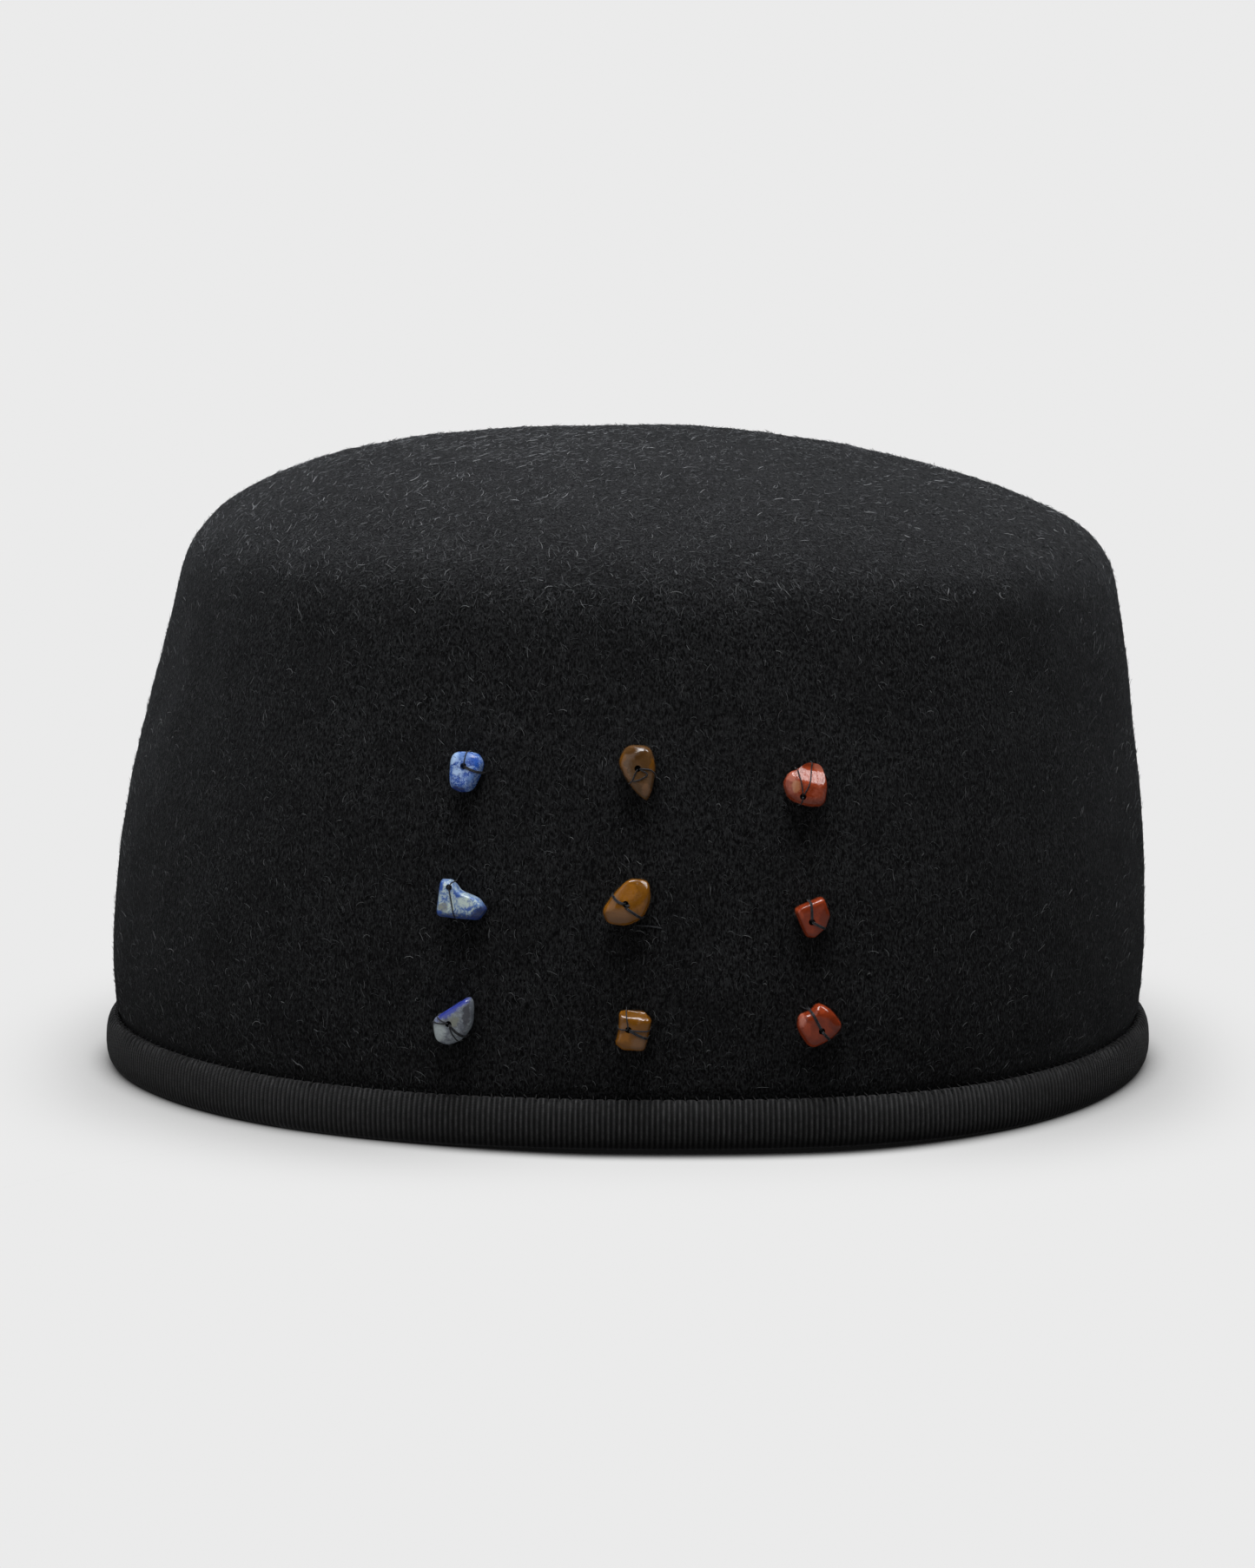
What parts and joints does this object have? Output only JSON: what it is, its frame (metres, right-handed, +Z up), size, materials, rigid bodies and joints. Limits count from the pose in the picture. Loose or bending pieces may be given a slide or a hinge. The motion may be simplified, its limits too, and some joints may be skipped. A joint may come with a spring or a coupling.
{
  "type": "felt pillbox cap with gem chips",
  "caption": "Hollow rounded black felt cap with a ribbed ribbon binding round its rim and small drilled gem chips sewn in a grid on one side.",
  "frame": {"origin": "middle of the cap's box, at the level of the surface that its rim stands on", "axes": "+Z up; -X is the front of the cap and +X its back; the chips are on the left side, at -Y"},
  "size_m": [0.2022, 0.1736, 0.1203],
  "materials": {
    "felt": "matt black wool felt with pale nap fibres",
    "ribbon": "black ribbed ribbon with a slight sheen",
    "blue_stone": "polished, veined with pale grey",
    "brown_stone": "polished, glossy",
    "red_stone": "polished, glossy"
  },
  "bodies": {
    "root": {"crown": "felt", "ribbon_binding": "ribbon", "stone_blue_1": "blue_stone", "stone_blue_2": "blue_stone", "stone_blue_3": "blue_stone", "stone_brown_1": "brown_stone", "stone_brown_2": "brown_stone", "stone_brown_3": "brown_stone", "stone_red_1": "red_stone", "stone_red_2": "red_stone", "stone_red_3": "red_stone"}
  },
  "joints": []
}
